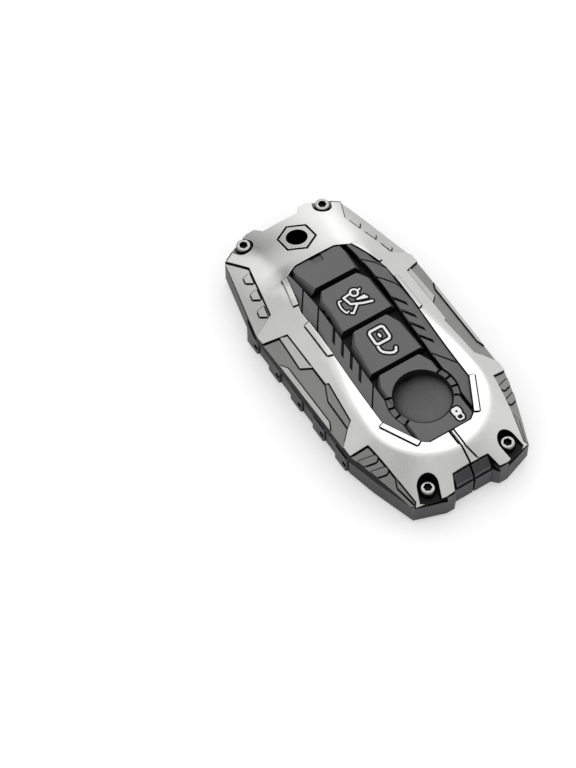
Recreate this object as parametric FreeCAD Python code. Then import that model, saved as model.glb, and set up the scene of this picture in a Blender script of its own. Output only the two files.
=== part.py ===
import FreeCAD, Part
import functools
import math
import os

V = FreeCAD.Vector
UP = V(0, 0, 1)

# A two-part cover for a car key fob, in millimetres.
# X runs across the cover, +Y points to the eyelet end, +Z out of the button face.
# The origin lies under the middle of the cover, on the flat of its back.
# Names that end in _in are measured from the flank, _back from the ear tips and _up from the foot tips.

# Along the cover, from the foot tips to the ear tips
tail_margin = 12.5         # foot tips to the window
dish_foot = 2.7            # window to the ring round the finger dish
dish_radius = 7.6
ring_width = 1.5
lock_nose = 1.7            # part of the lock key above the ring
unlock_length = 11.85
trunk_length = 12.95
key_gap = 1.1              # between neighbouring keys
top_block_length = 9.9     # fixed block above the keys
eyelet_land = 3.2          # metal between the window and the hexagon
eyelet_radius = 4.9        # to the corners of the hexagon
eyelet_back = 9.8

# Across and through the cover, from its middle to a flank
key_top_half = 6.6
key_flare = 1.4            # a key's sides spread by this much towards its foot
key_side_room = 0.65
keypad_flank = 4.05        # louvred strip between the keys and the window edge
deck_side = 4.0            # level metal beside the window
ridge_in = 6.5             # run of the sloped flank
parting_z = 6.7            # height of the joint between the two halves
parting_gap = 0.1          # hairline left between the halves

# Plan outline at the eyelet end
ear_inner = 6.7
ear_outer = 9.1
top_notch_half = 5.2       # notch between the ears
top_notch_depth = 2.2
shoulder_in = 5.6
shoulder_back = 3.6
taper_back = 28.0          # the flanks start to draw in here
# Plan outline at the tail
flank_draw_in = 0.4        # the flanks close by this much towards the tail
flank_end_up = 22.0
haunch_in = 2.6
haunch_up = 14.1
tail_corner_in = 6.3
tail_corner_up = 2.7
foot_inner = 6.6
foot_outer = 8.9
horn_setback = 0.6         # the silver horns stop short of the feet under them
tail_notch_half = 5.2
tail_notch_depth = 3.9

# Roof: flanks and tail fall away at one pitch from a ridge line round the keys
roof_pitch = 34.0          # degrees below level
ridge_z = 14.3
roof_bend = 1.0            # the ridge starts to draw in this far above the peak of the crown
roof_taper = 14.4          # degrees, drawing in towards the eyelet end
crest_round = 2.2          # radius along the ridge

# Crown: side view of the front face, as distance from its peak and height
peak_from_trunk = 3.6      # peak below the upper end of the trunk key
crown_rows = [(24.0, 13.1), (15.0, 15.2), (0.0, 18.1), (-9.0, 17.5), (-17.0, 16.2), (-25.0, 15.15),
              (-33.0, 14.7), (-47.0, 14.5)]
crown_overrun = 2.5        # the line is drawn past both ends of the cover
crown_top_z = 9.2
crown_tail_z = 14.5
inner_flats = 15           # hidden sides follow the crown in this many flats

# Window in the front shell
window_top_in = 6.9        # corners, measured from the window's own side
window_shoulder_in = 3.1
window_shoulder_drop = 2.0
window_side_drop = 13.6
window_low_rise = 10.4
window_corner_in = 4.8
window_corner_rise = 1.4
window_bottom_in = 6.7
window_gap = 0.2           # all round the keypad
trim_width = 1.2           # raised strips along the window edge
trim_height = 0.35
trim_upper = (2.2, 12.0)   # where a strip runs, below the top of the window
trim_side = (17.2, 28.8)

# Walls, and the space for the fob
roof_wall = 1.5
crown_wall = 1.6
floor_wall = 1.4
flank_wall = 2.6
cavity_from_eyelet = 6.5
cavity_top_in = 7.2        # corners, measured from the side of the space
cavity_shoulder_in = 2.0
cavity_shoulder_drop = 7.2
cavity_side_drop = 15.2
cavity_up = 9.3
cavity_low_rise = 16.2
cavity_haunch_in = 2.2
cavity_haunch_rise = 7.2
cavity_tail_in = 8.0
liner_thick = 0.8
liner_gap = 0.3

# Keypad and keys
key_drop = 0.45            # the keypad lies this far under the front face
key_thick = 2.0            # height of a key
key_travel = 0.8
key_stop_gap = 0.1         # left under a pressed key
web_thick = 0.6
flange_reach = 2.2         # how far the keypad reaches behind the window edge
flange_thick = 0.9
seat_gap = 0.05
slot_gap = 0.35            # beside and around the keys
key_end_flare = 0.4
key_nose_half = 4.9        # keys are narrower at the end nearer the eyelet
key_nose_length = 3.2
block_notch = [(2.0, 0.6), (1.2, -2.6)]   # right half of the notch in the fixed block
block_notch_depth = 0.4
stem_radius = 2.0
stem_gap = 0.25
stem_reach = 0.2           # the stem stands this far out behind the web
dish_rim = 0.5             # sloped rim of the finger dish, seen from the front
dish_depth = 1.5
dish_rim_depth = 1.05
ring_drop = 0.35           # the castellated ring lies lower than the key
ring_teeth = 3
ring_tooth_angle = 19.0
ring_groove = 0.65
ring_groove_depth = 0.9
lock_half = 7.4
lock_nose_half = 5.8

# Louvres and splits on the flanks of the keypad
louvre_count = 4
louvre_first = 2.15        # above the foot of the trunk key
louvre_pitch = 3.92
louvre_width = 1.25
louvre_reach = 2.3
louvre_slope = 1.4         # fall in y for each millimetre outwards
louvre_depth = 0.9
split_width = 0.7
block_split = 1.9          # above the foot of the fixed block
trunk_split = 4.0          # below the upper end of the trunk key
lock_split = 1.5           # below the upper end of the lock key

# Eyelet bush
eyelet_bore = 5.6
eyelet_gap = 0.3
eyelet_shank = 7.2
eyelet_lip = 0.6           # floor left under the shank
shank_gap = 0.05

# Screws, M2 hexagon-socket cap
screw_head = 3.8
screw_head_height = 2.0
screw_shank = 2.0
screw_length = 6.0
screw_key = 1.5            # across flats
screw_key_depth = 1.0
screw_hole_gap = 0.1
screw_end_gap = 0.4
top_screw_out = 2.8        # outwards of the ears
top_screw_back = 3.4
top_seat = 2.7             # metal under a head
tail_screw_out = 2.8       # outwards of the feet
tail_screw_up = 4.7
tail_seat = 1.0
counterbore_radius = 2.5
tail_pocket_radius = 2.7

# Panels sunk into the flanks, with corners as distance from the flank and along it
panel_depth = 0.7
panel_step = 0.4           # strips, teeth and bars stand this high in a panel
panel_overrun = 2.8        # past the edge of the flank
# Upper panel, along from the ear tips
upper_panel = [(8.8, -10.1), (5.35, -25.8), (0.3, -27.3), (-panel_overrun, -27.3), (-panel_overrun, -3.5),
               (5.8, -3.6)]
saw_count = 3
saw_first = (5.95, -12.95)
saw_step = (-1.28, -5.35)  # from one tooth to the next
saw_depth = (1.3, -1.65)   # along the step at the tail side of a tooth
saw_rise = (0.75, 3.3)     # along a tooth, towards the eyelet
saw_outer_rise = (0.4, 1.65)
# Middle panel, along from the peak of the crown
middle_panel = [(5.4, -0.8), (5.45, -18.0), (6.1, -18.6), (5.0, -30.0), (3.4, -31.1), (-0.7, -34.8),
                (-panel_overrun, -34.8), (-panel_overrun, 3.8)]
middle_inner_strip = [(3.75, 1.0), (6.2, 1.0), (6.2, -13.1), (3.2, -10.0)]
middle_low_strip = [(6.8, -17.0), (5.9, -17.0), (3.8, -21.9), (3.6, -32.0), (6.8, -32.0)]
middle_outer_strip = [(-0.8, -3.6), (1.1, -7.6), (1.2, -26.1), (-0.8, -30.2)]
# Lower panel, along from the foot tips
lower_panel = [(4.8, 20.7), (6.1, 11.1), (7.45, 3.5), (5.6, 1.0), (-panel_overrun, 5.5),
               (-panel_overrun, 22.6)]
lower_strip = [(8.5, 10.5), (6.2, 10.5), (5.45, 8.6), (7.1, 3.0), (8.5, 3.0)]
bar_count = 2
bar_first = (4.3, 17.2)    # middle of the round inner end of a bar
bar_step = (0.55, -3.8)
bar_radius = 0.75
bar_length = 4.5
bar_angle = 25.0           # degrees, a bar slants towards the eyelet as it runs outwards

# Rear shell
rear_chamfer = 1.2
rear_in = 0.7              # flank between the grip pads
rear_step_in = 2.1         # the flank steps out from here towards the tail
rear_step_back = 19.7
rear_flank_back = 21.9
grip_count = 5
grip_pitch = 10.1
grip_length = 5.2
grip_first_back = 25.1
grip_proud = 0.6
grip_foot_z = 1.2
grip_round = 0.5
post_height = 1.5          # the posts under the horns stand this far above the joint
post_root_up = 4.3
post_gap = 0.15
tail_block_height = 3.8    # above the joint
tail_block_root_up = 3.75
tail_block_ridge_up = 2.0
tail_block_ridge = 1.5     # above the joint
tail_block_face_up = 1.5
tail_block_foot_z = 1.9
tail_block_under_up = 2.3
tail_block_under_z = 0.6
tail_block_gap = 0.15
signal_slit = 0.6          # keeps the metal from closing a loop round the fob
slit_jog = 0.35
slit_jog_up = 8.5
slit_step_width = 0.75     # lowered strip beside the slit
slit_step_depth = 0.3
slit_flare_up = 7.5
slit_flare = 1.5           # the strip widens by this much at the tail
back_recess = 0.5
back_recess_margin = 5.0

# Places along the cover that follow from the sizes above
ring_radius = dish_radius + ring_width
dish_floor_radius = dish_radius - dish_rim
lock_room = dish_foot + 2 * ring_radius + lock_nose
key_room = lock_room + unlock_length + trunk_length + 3 * key_gap
length = tail_margin + key_room + top_block_length + eyelet_land + eyelet_radius + eyelet_back
top_y = length / 2
tail_y = -length / 2
window_bottom_y = tail_y + tail_margin
lock_y = window_bottom_y + lock_room
unlock_foot_y = lock_y + key_gap
unlock_y = unlock_foot_y + unlock_length
trunk_foot_y = unlock_y + key_gap
trunk_y = trunk_foot_y + trunk_length
block_foot_y = trunk_y + key_gap
window_top_y = block_foot_y + top_block_length
eyelet_y = top_y - eyelet_back
dish_y = window_bottom_y + dish_foot + ring_radius
peak_y = trunk_y - peak_from_trunk
cavity_top_y = eyelet_y - cavity_from_eyelet
cavity_tail_y = tail_y + cavity_up
notch_y = tail_y + tail_notch_depth
post_root_y = tail_y + post_root_up
tail_block_root_y = tail_y + tail_block_root_up
tail_block_face_y = tail_y + tail_block_face_up
slit_jog_y = tail_y + slit_jog_up

# Places across and through it
slot_half = key_top_half + key_flare + key_side_room
window_half = slot_half + keypad_flank
ridge_half = window_half + deck_side
half = ridge_half + ridge_in
shoulder = (half - shoulder_in, top_y - shoulder_back)
haunch = (half - haunch_in, tail_y + haunch_up)
tail_corner = (half - tail_corner_in, tail_y + tail_corner_up)
flank_end_y = tail_y + flank_end_up
rear_half = half - rear_in
cavity_half = half - flank_wall
pitch = math.tan(math.radians(roof_pitch))
front_floor_z = parting_z + parting_gap / 2
rear_top_z = parting_z - parting_gap / 2
post_top_z = parting_z + post_height
roof_drop = roof_wall / math.cos(math.radians(roof_pitch))
web_top = key_drop + key_thick + key_travel + key_stop_gap
web_under = web_top + web_thick
crown = ([(top_y + crown_overrun, crown_top_z)] + [(peak_y + along, z) for along, z in crown_rows]
         + [(tail_y - crown_overrun, crown_tail_z)])
sky_z = max(z for _, z in crown) + key_thick
reach = 2 * half           # sideways room for tools that cut right through


def mirrored(right_half):
    """Closed outline from its right half, listed from the eyelet end to the tail."""
    left = [(-x, y) for x, y in reversed(right_half) if x > 0]
    return list(right_half) + left


def shifted(point, step, times=1):
    return (point[0] + step[0] * times, point[1] + step[1] * times)


def on_flank(corners, start_y):
    """Plan outline from corners given as distance from the flank and along it."""
    return [(half - inwards, start_y + along) for inwards, along in corners]


def prism(outline, z0, z1):
    """Straight solid on a plan outline."""
    points = [V(x, y, z0) for x, y in outline]
    face = Part.Face(Part.makePolygon(points + points[:1]))
    return face.extrude(V(0, 0, z1 - z0))


def frustum(low, z0, high, z1):
    """Solid between two plan outlines with as many corners each."""
    rings = [Part.makePolygon([V(x, y, z) for x, y in ring + ring[:1]])
             for ring, z in ((low, z0), (high, z1))]
    return Part.makeLoft(rings, True, True)


def post(x, y, radius, z0, z1):
    return Part.makeCylinder(radius, z1 - z0, V(x, y, z0))


def hexagon(x, y, radius, z0, z1):
    """Hexagonal prism with corners towards the two ends of the cover."""
    turns = [math.radians(60 * i) for i in range(6)]
    return prism([(x + radius * math.sin(t), y + radius * math.cos(t)) for t in turns], z0, z1)


def both_sides(shape):
    return shape.fuse(shape.mirror(V(0, 0, 0), V(1, 0, 0)))


def crown_line(drop, x):
    line = Part.BSplineCurve()
    line.interpolate([V(x, y, z - drop) for y, z in crown])
    return line


def crown_z(y):
    """Height of the crown at one place along the cover."""
    cut = crown_line(0, 0).intersectCC(Part.LineSegment(V(0, y, 0), V(0, y, 2 * sky_z)))
    return cut[0].Z


def filled_below(line):
    """Solid across the whole cover below a line drawn in side view."""
    start, end = line.Vertexes[0].Point, line.Vertexes[-1].Point
    rest = Part.makePolygon([end, V(-reach, end.y, -sky_z), V(-reach, start.y, -sky_z), start])
    return Part.Face(Part.Wire(line.Edges + rest.Edges)).extrude(V(2 * reach, 0, 0))


@functools.lru_cache(maxsize=None)
def under_crown(drop):
    """Everything below the crown line lowered by a drop."""
    return filled_below(crown_line(drop, -reach).toShape())


@functools.lru_cache(maxsize=None)
def under_flats(drop):
    """The same with the line in straight flats, for sides that nobody sees."""
    return filled_below(Part.makePolygon(crown_line(drop, -reach).discretize(inner_flats + 1)))


def roof_half_width(z, drop):
    """Half-width of the straight roof at a height, which is also the radius of its round tail."""
    return ridge_half + (ridge_z - drop - z) / pitch


@functools.lru_cache(maxsize=None)
def under_roof(drop):
    """Everything below the pitched flanks and the conical tail, lowered by a drop."""
    foot, peak = roof_half_width(0, drop), roof_half_width(sky_z, drop)
    section = [V(-2 * reach, 0, 0), V(foot, 0, 0), V(peak, 0, sky_z), V(-2 * reach, 0, sky_z)]
    slope = Part.Face(Part.makePolygon(section + section[:1])).extrude(V(0, 4 * reach, 0))
    slope.translate(V(0, dish_y, 0))
    drawn_in = slope.copy()
    drawn_in.translate(V(0, -2 * reach, 0))
    drawn_in.rotate(V(ridge_half, peak_y + roof_bend, 0), UP, roof_taper)
    right = slope.common(drawn_in)
    straight = right.common(right.mirror(V(0, 0, 0), V(1, 0, 0)))
    cone = Part.makeCone(foot, peak, sky_z, V(0, dish_y, 0))
    tail_side = Part.makeBox(4 * reach, 2 * reach, sky_z, V(-2 * reach, dish_y - 2 * reach, 0))
    return straight.fuse(cone.common(tail_side)).removeSplitter()


@functools.lru_cache(maxsize=None)
def under_face(drop):
    """Everything below the front face, flanks and all, lowered by a drop."""
    return under_roof(drop).common(under_crown(drop))


def plan_outline():
    """Right half of the front shell seen from the front."""
    horn_y = tail_y + horn_setback
    return [(0, top_y - top_notch_depth), (top_notch_half, top_y - top_notch_depth),
            (ear_inner, top_y), (ear_outer, top_y), shoulder, (half, top_y - taper_back),
            (half - flank_draw_in, flank_end_y), haunch, tail_corner, (foot_outer, horn_y),
            (foot_inner, horn_y), (tail_notch_half, notch_y), (0, notch_y)]


def rear_outline():
    """Right half of the rear shell, without its grip pads."""
    return [(0, top_y - top_notch_depth), (top_notch_half, top_y - top_notch_depth),
            (ear_inner, top_y), (ear_outer, top_y), shoulder,
            (half - rear_step_in, top_y - rear_step_back), (rear_half, top_y - rear_flank_back),
            (rear_half, flank_end_y), haunch, tail_corner, (foot_outer, tail_y), (foot_inner, tail_y),
            (tail_notch_half, tail_block_face_y), (0, tail_block_face_y)]


def window_outline(grow):
    """Right half of the window, grown by a margin."""
    top, bottom, side = window_top_y + grow, window_bottom_y - grow, window_half + grow
    return [(0, top), (side - window_top_in - grow / 2, top),
            (side - window_shoulder_in, top - window_shoulder_drop - grow / 2),
            (side, window_top_y - window_side_drop), (side, window_bottom_y + window_low_rise - grow / 3),
            (side - window_corner_in, bottom + window_corner_rise + grow / 2),
            (side - window_bottom_in - grow / 2, bottom), (0, bottom)]


def cavity_outline(grow):
    """Right half of the space for the fob, grown by a margin."""
    top, tail, side = cavity_top_y + grow, cavity_tail_y - grow, cavity_half + grow
    return [(0, top), (side - cavity_top_in - grow / 2, top),
            (side - cavity_shoulder_in, top - cavity_shoulder_drop - grow / 2),
            (side, cavity_top_y - cavity_side_drop), (side, cavity_tail_y + cavity_low_rise),
            (side - cavity_haunch_in, tail + cavity_haunch_rise + grow / 2),
            (side - cavity_tail_in - grow / 2, tail), (0, tail)]


def sink(outline, depth):
    """Tool that lowers the front face by a depth inside a plan outline."""
    return prism(outline, front_floor_z, sky_z).cut(under_face(depth))


def raise_up(outline, height):
    """Slab on the front face inside a plan outline."""
    slab = prism(outline, front_floor_z, sky_z).common(under_face(-height))
    return slab.cut(under_face(crown_wall / 2))


def open_bore(x, y, radius, way, z0, z1):
    """Round pocket that runs out through the edge of the shell."""
    away = V(way[0], way[1], 0).normalize()
    side = V(-away.y, away.x, 0) * radius
    centre = V(x, y, 0)
    far = centre + away * (4 * radius)
    corners = [centre + side, far + side, far - side, centre - side]
    channel = prism([(p.x, p.y) for p in corners], z0, z1)
    return post(x, y, radius, z0, z1).fuse(channel)


def screw_places():
    """Name, place, seat height, pocket radius and the way each pocket opens."""
    top_way = (top_y - shoulder[1], shoulder[0] - ear_outer)
    tail_way = (tail_corner[1] - tail_y, foot_outer - tail_corner[0])
    for side, sign in (("left", -1), ("right", 1)):
        yield ("screw_top_" + side, sign * (ear_outer + top_screw_out), top_y - top_screw_back,
               parting_z + top_seat, counterbore_radius, (sign * top_way[0], top_way[1]))
        yield ("screw_tail_" + side, sign * (foot_outer + tail_screw_out), tail_y + tail_screw_up,
               parting_z + tail_seat, tail_pocket_radius, (sign * tail_way[0], tail_way[1]))


def fob_space():
    """Hollow of the closed cover, from the rear floor to the underside of the front."""
    block = prism(mirrored(cavity_outline(0)), floor_wall, sky_z)
    return block.common(under_roof(roof_drop)).common(under_flats(crown_wall))


def foot_post(grow, z1):
    """One of the two posts of the rear shell that stand under the silver horns."""
    inner = tail_notch_half + tail_block_gap - grow
    corners = [(foot_outer + grow, post_root_y + grow), (foot_outer + grow, tail_y - grow),
               (foot_inner - grow / 2, tail_y - grow), (inner, post_root_y + grow)]
    return prism(corners, rear_top_z - parting_gap, z1)


def is_sloped(face):
    """True for a face of the blank that is neither upright nor its flat underside."""
    u0, u1, v0, v1 = face.ParameterRange
    up = face.normalAt((u0 + u1) / 2, (v0 + v1) / 2).z
    return 0 < round(abs(up), 1) and face.BoundBox.ZLength > parting_gap


def front_blank():
    """Front shell before anything is sunk into it, with its ridge rounded."""
    block = prism(mirrored(plan_outline()), front_floor_z, sky_z)
    block = block.common(under_face(0)).removeSplitter()
    sloped = [face for face in block.Faces if is_sloped(face)]
    crown_face = max(sloped, key=lambda face: face.BoundBox.ZMax)
    ridge = [edge for face in sloped for edge in face.Edges
             if not face.isSame(crown_face) and any(edge.isSame(other) for other in crown_face.Edges)]
    return block.makeFillet(crest_round, ridge)


def point_between(start, end, y):
    """Place at a given y on the line through two points."""
    share = (y - start[1]) / (end[1] - start[1])
    return (start[0] + (end[0] - start[0]) * share, y)


def window_trims():
    """Raised strips along the edge of the window."""
    inner, outer = window_outline(-trim_width), window_outline(trim_width)
    upper, side, low, corner = list(zip(inner, outer))[2:6]
    for start, end, (near, far) in ((upper, side, trim_upper), (side, low, trim_side)):
        y0, y1 = window_top_y - near, window_top_y - far
        yield [point_between(start[0], end[0], y0), point_between(start[1], end[1], y0),
               point_between(start[1], end[1], y1 + trim_width), point_between(start[0], end[0], y1)]
    yield [low[0], low[1], corner[1], corner[0]]


def saw_teeth():
    """Teeth along the inner side of the upper flank panel."""
    for i in range(saw_count):
        outer = shifted(saw_first, saw_step, i)
        inner = shifted(outer, saw_depth)
        yield on_flank([outer, inner, shifted(inner, saw_rise), shifted(outer, saw_outer_rise)], top_y)


def flank_panels():
    """Sunk panels of the right flank, with the strips, teeth and bars that stand up in them."""
    strips = [on_flank(strip, peak_y) for strip in (middle_inner_strip, middle_low_strip, middle_outer_strip)]
    strips += [on_flank(lower_strip, tail_y)] + list(saw_teeth())
    raised = [prism(strip, 0, sky_z) for strip in strips]
    raised += [bar(shifted(bar_first, bar_step, i)) for i in range(bar_count)]
    panels = [sink(on_flank(outline, start_y), panel_depth)
              for outline, start_y in ((upper_panel, top_y), (middle_panel, peak_y), (lower_panel, tail_y))]
    standing = raised[0].multiFuse(raised[1:]).common(under_face(panel_depth - panel_step))
    return panels[0].multiFuse(panels[1:]).cut(standing)


def bar(start):
    """Round-ended bar in plan, from its inner end outwards."""
    (x, y), = on_flank([start], tail_y)
    blank = Part.makeBox(bar_length, 2 * bar_radius, sky_z, V(0, -bar_radius, 0))
    blank = blank.fuse(post(0, 0, bar_radius, 0, sky_z))
    blank.rotate(V(0, 0, 0), UP, bar_angle)
    blank.translate(V(x, y, 0))
    return blank


def front_slit():
    """Slit from the window to the tail, with its jog."""
    w = signal_slit / 2
    start, end = window_bottom_y + signal_slit, tail_y
    return prism([(-w - slit_jog, start), (w - slit_jog, start), (w - slit_jog, slit_jog_y),
                  (w, slit_jog_y - slit_jog), (w, end), (-w, end), (-w, slit_jog_y - slit_jog),
                  (-w - slit_jog, slit_jog_y)], 0, sky_z)


def make_front_shell():
    shell = front_blank().cut(both_sides(flank_panels()))
    trims = [both_sides(raise_up(strip, trim_height)) for strip in window_trims()]
    shell = shell.multiFuse(trims)
    shell = shell.cut(fob_space())
    tools = [prism(mirrored(window_outline(0)), 0, sky_z), front_slit()]
    for _, x, y, seat, radius, way in screw_places():
        tools.append(open_bore(x, y, radius, way, seat, sky_z))
        tools.append(post(x, y, screw_shank / 2 + screw_hole_gap, 0, sky_z))
    tools.append(hexagon(0, eyelet_y, eyelet_radius + eyelet_gap, 0, sky_z))
    tools.append(both_sides(foot_post(post_gap, post_top_z + parting_gap)))
    step_x = signal_slit / 2 + slit_step_width
    tools.append(sink([(0, window_bottom_y), (step_x, window_bottom_y), (step_x, tail_y + slit_flare_up),
                       (step_x + slit_flare, notch_y), (0, notch_y)], slit_step_depth))
    return shell.cut(tools[0].multiFuse(tools[1:]))


def make_rear_shell():
    base = prism(mirrored(rear_outline()), 0, rear_top_z)
    rim = [e for e in base.Edges if abs(e.BoundBox.ZMax) < parting_gap]
    shell = base.makeChamfer(rear_chamfer, rim)
    root = rear_half - 2 * grip_proud
    for i in range(grip_count):
        y = top_y - grip_first_back - i * grip_pitch
        grip = Part.makeBox(rear_half + grip_proud - root, grip_length, rear_top_z - grip_foot_z,
                            V(root, y - grip_length / 2, grip_foot_z))
        ends = [e for e in grip.Edges if e.BoundBox.XMin > rear_half and e.BoundBox.YLength < grip_round]
        shell = shell.fuse(both_sides(grip.makeFillet(grip_round, ends)))
    profile = [(tail_block_root_y, parting_z + tail_block_height),
               (tail_y + tail_block_ridge_up, parting_z + tail_block_ridge),
               (tail_block_face_y, tail_block_foot_z), (tail_y + tail_block_under_up, tail_block_under_z),
               (tail_block_root_y, tail_block_under_z)]
    half_block = tail_notch_half - tail_block_gap
    points = [V(-half_block, y, z) for y, z in profile]
    block = Part.Face(Part.makePolygon(points + points[:1])).extrude(V(2 * half_block, 0, 0))
    shell = shell.multiFuse([block, both_sides(foot_post(0, post_top_z))])
    tools = [prism(mirrored(cavity_outline(0)), floor_wall, sky_z)]
    for _, x, y, seat, _, _ in screw_places():
        tools.append(post(x, y, screw_shank / 2 + screw_hole_gap, seat - screw_length - screw_end_gap, sky_z))
    tools.append(post(0, eyelet_y, eyelet_shank / 2 + shank_gap, eyelet_lip, sky_z))
    tools.append(post(0, eyelet_y, eyelet_bore / 2 + eyelet_gap, -sky_z, sky_z))
    w = signal_slit / 2
    tools.append(prism([(-w, tail_block_root_y), (w, tail_block_root_y), (w, tail_y), (-w, tail_y)],
                       -sky_z, sky_z))
    tools.append(prism(mirrored(cavity_outline(-back_recess_margin)), -sky_z, back_recess))
    return shell.cut(tools[0].multiFuse(tools[1:]))


def key_outline(y0, y1, nose_half, top_half, spread):
    """Right half of a key, spread outwards towards its foot."""
    end = key_end_flare * spread / key_flare
    return [(0, y0), (nose_half + spread / 3, y0), (top_half + spread, y0 - key_nose_length),
            (top_half + spread, y1 - end), (0, y1 - end)]


def key_slot(inset):
    """Room that the keys stand in, wider round the dish."""
    straight = [(0, window_top_y), (slot_half - inset, window_top_y),
                (slot_half - inset, window_bottom_y - window_gap + inset),
                (0, window_bottom_y - window_gap + inset)]
    ring = post(0, dish_y, ring_radius + slot_gap - inset, 0, sky_z)
    return prism(mirrored(straight), 0, sky_z).fuse(ring).common(
        prism(mirrored(window_outline(-window_gap - inset / 2)), 0, sky_z))


def key_blank(y0, y1, nose_half, top_half):
    """Flared body of a key between the crown and its own foot."""
    level = crown_z((y0 + y1) / 2) - key_drop
    rate = key_flare / key_thick
    low, high = level - 2 * key_thick, level + key_thick
    rings = [mirrored(key_outline(y0, y1, nose_half, top_half, (level - z) * rate)) for z in (low, high)]
    body = frustum(rings[0], low, rings[1], high).common(key_slot(slot_gap))
    return body.common(under_crown(key_drop)).cut(under_flats(key_drop + key_thick))


def key_stem(y):
    """Stem under a key that reaches through the web to the fob."""
    foot = crown_z(y) - web_under - stem_reach
    stem = post(0, y, stem_radius, foot, sky_z)
    return stem.common(under_crown(key_drop + key_thick / 2))


def make_key(y0, y1):
    """Plain key between its upper end and its foot."""
    return key_blank(y0, y1, key_nose_half, key_top_half).fuse(key_stem((y0 + y1) / 2))


def dish_tool(z):
    """Round finger dish with a sloped rim and a hollowed floor."""
    rim_z = z - dish_rim_depth
    sag = dish_depth - dish_rim_depth
    ball_radius = (dish_floor_radius ** 2 + sag ** 2) / (2 * sag)
    ball = Part.makeSphere(ball_radius, V(0, dish_y, z - dish_depth + ball_radius), V(1, 0, 0))
    floor = post(0, dish_y, dish_floor_radius, rim_z - dish_depth, rim_z).common(ball)
    rim = Part.makeCone(dish_floor_radius, dish_radius, dish_rim_depth, V(0, dish_y, rim_z))
    return rim.multiFuse([floor, post(0, dish_y, dish_radius, z, sky_z)])


def make_lock_key():
    """Key with the finger dish and the castellated ring beside it."""
    z = crown_z(dish_y) - key_drop
    pad = key_blank(lock_y, window_bottom_y + window_gap + slot_gap, lock_nose_half, lock_half)
    ring = post(0, dish_y, ring_radius, 0, z - ring_drop).common(key_slot(slot_gap))
    key = pad.multiFuse([ring.cut(under_flats(key_drop + key_thick)), key_stem(dish_y)])
    groove = Part.makeBox(ring_radius, ring_groove, key_thick,
                          V(dish_radius, -ring_groove / 2, z - ring_drop - ring_groove_depth))
    for i in range(ring_teeth + 1):
        cut = groove.copy()
        cut.rotate(V(0, 0, 0), UP, (i - ring_teeth / 2) * ring_tooth_angle)
        cut.translate(V(0, dish_y, 0))
        key = key.cut(both_sides(cut))
    return key.cut(dish_tool(z))


def louvre_outline(y, width, far):
    """Slanted slot on the right flank of the keypad."""
    fall = (far - slot_half) * louvre_slope
    start = slot_half - slot_gap
    lift = slot_gap * louvre_slope
    return [(start, y + lift), (far, y - fall), (far, y - fall - width), (start, y + lift - width)]


def keypad_block():
    """Fixed block at the top of the keypad, with its small notch and its root in the web."""
    block = key_blank(window_top_y, block_foot_y, key_top_half, key_top_half)
    root = prism(mirrored(key_outline(window_top_y, block_foot_y, key_nose_half, key_nose_half, 0)), 0, sky_z)
    root = root.common(under_crown(key_drop + key_thick / 2)).cut(under_flats(web_under))
    notch = prism(mirrored([(x, window_top_y + along) for x, along in block_notch]), 0, sky_z)
    block = block.fuse(root).cut(notch.cut(under_crown(key_drop + block_notch_depth)))
    return block.common(prism(mirrored(window_outline(-window_gap)), 0, sky_z))


def keypad_cuts():
    """Plan outlines of the louvres and splits on the right flank of the keypad."""
    for i in range(louvre_count):
        yield louvre_outline(trunk_foot_y + louvre_first - i * louvre_pitch, louvre_width,
                             slot_half + louvre_reach)
    for y in (block_foot_y + block_split, trunk_y - trunk_split, lock_y - lock_split):
        yield louvre_outline(y, split_width, window_half + split_width)


def make_keypad_panel():
    face = prism(mirrored(window_outline(-window_gap)), 0, sky_z).common(under_face(key_drop))
    ledge = prism(mirrored(window_outline(flange_reach)), 0, sky_z)
    ledge = ledge.common(prism(mirrored(cavity_outline(-liner_gap)), 0, sky_z))
    ledge = ledge.common(under_roof(roof_drop + seat_gap)).common(under_flats(crown_wall + seat_gap))
    under = under_flats(web_under).common(under_roof(roof_drop + seat_gap + flange_thick))
    room = key_slot(0).cut(under_flats(web_top))
    panel = face.fuse(ledge).cut(under).cut(room).fuse(keypad_block())
    tools = [both_sides(prism(outline, 0, sky_z).cut(under_face(key_drop + louvre_depth)))
             for outline in keypad_cuts()]
    for y in ((trunk_y + trunk_foot_y) / 2, (unlock_y + unlock_foot_y) / 2, dish_y):
        tools.append(post(0, y, stem_radius + stem_gap, 0, sky_z))
    for tool in tools:
        panel = panel.cut(tool)
    return panel


def make_eyelet_bush():
    head = hexagon(0, eyelet_y, eyelet_radius, rear_top_z, sky_z).common(under_crown(0))
    shank = post(0, eyelet_y, eyelet_shank / 2, eyelet_lip, rear_top_z)
    return head.fuse(shank).cut(post(0, eyelet_y, eyelet_bore / 2, -sky_z, sky_z))


def make_screw(x, y, seat):
    top = seat + screw_head_height
    head = post(x, y, screw_head / 2, seat, top)
    key = hexagon(x, y, screw_key / math.sqrt(3), top - screw_key_depth, sky_z)
    shank = post(x, y, screw_shank / 2, seat - screw_length, seat)
    return head.cut(key).fuse(shank)


def make_rear_liner():
    return prism(mirrored(cavity_outline(-liner_gap)), floor_wall, floor_wall + liner_thick)


def save(shape, name):
    shape = shape.removeSplitter()
    shape.exportStep("parts/" + name + ".step")
    print(name, "solids", len(shape.Solids), "volume", round(shape.Volume, 1), "valid", shape.isValid())


def main():
    os.makedirs("parts", exist_ok=True)
    save(make_front_shell(), "front_shell")
    save(make_rear_shell(), "rear_shell")
    save(make_keypad_panel(), "keypad_panel")
    save(make_key(trunk_y, trunk_foot_y), "trunk_button")
    save(make_key(unlock_y, unlock_foot_y), "unlock_button")
    save(make_lock_key(), "lock_button")
    save(make_eyelet_bush(), "eyelet_bush")
    save(make_rear_liner(), "rear_liner")
    for name, x, y, seat, _, _ in screw_places():
        save(make_screw(x, y, seat), name)


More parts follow.
